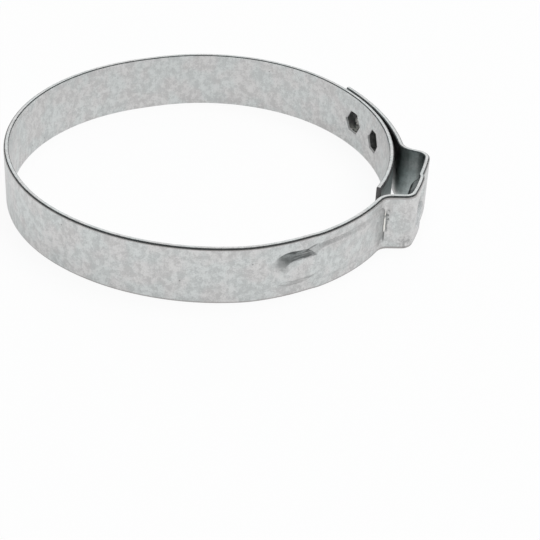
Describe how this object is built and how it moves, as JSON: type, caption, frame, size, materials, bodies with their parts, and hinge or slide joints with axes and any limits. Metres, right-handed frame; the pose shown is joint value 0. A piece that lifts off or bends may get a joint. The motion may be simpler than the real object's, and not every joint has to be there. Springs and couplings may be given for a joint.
{
  "type": "ear hose clamp",
  "caption": "Stepless ear hose clamp: a galvanised steel strip rolled into a ring, with a crimping ear, lap hooks and a tongue that slides in a pressed channel.",
  "frame": {"origin": "centre of the ring's bore, at the band's lower edge", "axes": "+Z along the bore, from the lower edge to the upper one; +X towards the ear; +Y across, towards the lap with the hooks"},
  "size_m": [0.0499, 0.047, 0.007],
  "materials": {
    "zinc_steel": "galvanised, with a fine zinc spangle"
  },
  "bodies": {
    "root": {"clamp_band": "zinc_steel"}
  },
  "joints": []
}
